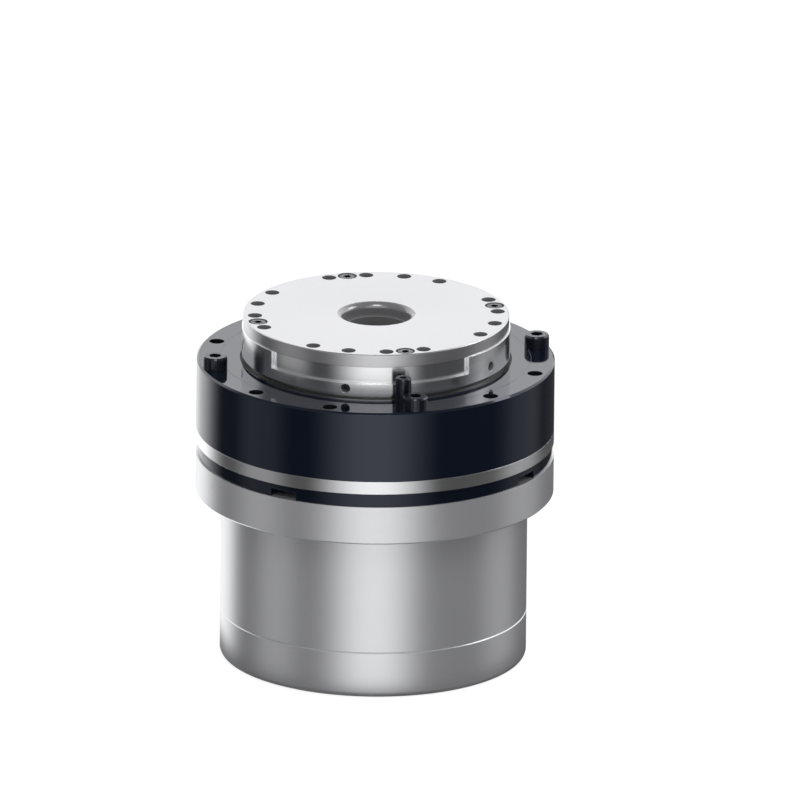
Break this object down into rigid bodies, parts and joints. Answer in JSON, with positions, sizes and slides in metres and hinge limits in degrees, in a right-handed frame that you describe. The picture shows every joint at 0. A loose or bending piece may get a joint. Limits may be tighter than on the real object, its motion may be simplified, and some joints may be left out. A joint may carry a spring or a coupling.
{
  "type": "robot joint actuator",
  "caption": "Hollow-shaft rotary actuator for a robot joint: motor, brake and encoders in a flanged barrel drive a strain wave gear on a crossed roller bearing.",
  "frame": {"origin": "centre of the base of the rear cover", "axes": "+Z along the output axis, from the rear cover to the output disc; +X and +Y through the stack's socket head screws"},
  "size_m": [0.08, 0.08, 0.0792],
  "materials": {
    "satin_aluminium": "fine bead-blasted and clear anodised",
    "black_aluminium": "black anodised",
    "black_steel": "gloss black oxide",
    "bright_steel": "turned and ground",
    "black_screw": "black oxide",
    "copper": "enamelled winding wire",
    "magnet": "plated magnet",
    "friction_lining": "resin-bonded friction lining",
    "circuit_board": "solder mask",
    "black_plastic": "moulded",
    "brass_standoff": "turned brass",
    "seal_rubber": "moulded"
  },
  "bodies": {
    "housing": {"bearing_bracket": "black_aluminium", "bearing_outer_ring": "black_steel", "board_components": "black_plastic", "board_screws": "black_screw", "board_standoffs": "brass_standoff", "brake_body": "bright_steel", "brake_coil": "copper", "brake_plate": "bright_steel", "brake_screws": "black_screw", "brake_spacers": "bright_steel", "cover_screws": "black_screw", "driver_board": "circuit_board", "encoder_board": "circuit_board", "flexspline": "bright_steel", "front_outer_race": "bright_steel", "grease_plug": "black_screw", "motor_housing": "satin_aluminium", "oil_seal": "seal_rubber", "power_connector": "black_plastic", "rear_cover": "satin_aluminium", "rear_outer_race": "bright_steel", "seal_ring": "black_aluminium", "shaft_seal": "seal_rubber", "signal_connector": "black_plastic", "stack_screws": "black_screw", "stator_core": "bright_steel", "stator_windings": "copper", "wave_outer_race": "bright_steel"},
    "output": {"output_ring": "bright_steel", "output_disc": "satin_aluminium", "disc_screws": "black_screw", "centre_tube": "bright_steel", "circular_spline": "bright_steel", "spline_screws": "black_screw", "output_encoder_ring": "magnet"},
    "rotor": {"rotor_shaft": "bright_steel", "rotor_yoke": "bright_steel", "rotor_magnets": "magnet", "wave_plug": "bright_steel", "wave_inner_race": "bright_steel", "wave_retainer": "bright_steel", "brake_hub": "bright_steel", "brake_disc": "friction_lining", "rotor_encoder_ring": "magnet", "rear_inner_race": "bright_steel", "front_inner_race": "bright_steel"},
    "roller_set": {"rollers_rising": "bright_steel", "rollers_falling": "bright_steel", "roller_spacers": "black_plastic"},
    "wave_ball_set": {"wave_balls": "bright_steel", "wave_cage": "black_plastic"},
    "rear_ball_set": {"rear_balls": "bright_steel", "rear_cage": "black_plastic"},
    "front_ball_set": {"front_balls": "bright_steel", "front_cage": "black_plastic"},
    "armature": {"brake_armature": "bright_steel"}
  },
  "joints": [
    {"name": "output_spin", "type": "hinge", "parent": "housing", "child": "output", "pos_m": [0, 0, 0], "axis": [0, 0, 1], "continuous": true},
    {"name": "rotor_spin", "type": "hinge", "parent": "housing", "child": "rotor", "pos_m": [0, 0, 0], "axis": [0, 0, 1], "continuous": true},
    {"name": "roller_orbit", "type": "hinge", "parent": "housing", "child": "roller_set", "pos_m": [0, 0, 0], "axis": [0, 0, 1], "continuous": true},
    {"name": "wave_ball_orbit", "type": "hinge", "parent": "housing", "child": "wave_ball_set", "pos_m": [0, 0, 0], "axis": [0, 0, 1], "continuous": true},
    {"name": "front_ball_orbit", "type": "hinge", "parent": "housing", "child": "front_ball_set", "pos_m": [0, 0, 0], "axis": [0, 0, 1], "continuous": true},
    {"name": "rear_ball_orbit", "type": "hinge", "parent": "housing", "child": "rear_ball_set", "pos_m": [0, 0, 0], "axis": [0, 0, 1], "continuous": true},
    {"name": "brake_release", "type": "slide", "parent": "housing", "child": "armature", "axis": [0, 0, -1], "range_m": [0, 0.0002], "stiffness_N_per_m": 2000, "springref_m": -0.002}
  ],
  "couplings": [
    {"joint": "rotor_spin", "follows": "output_spin", "ratio": 51},
    {"joint": "roller_orbit", "follows": "output_spin", "ratio": 0.4808},
    {"joint": "wave_ball_orbit", "follows": "output_spin", "ratio": 23.396},
    {"joint": "front_ball_orbit", "follows": "output_spin", "ratio": 22.067},
    {"joint": "rear_ball_orbit", "follows": "output_spin", "ratio": 22.067}
  ]
}
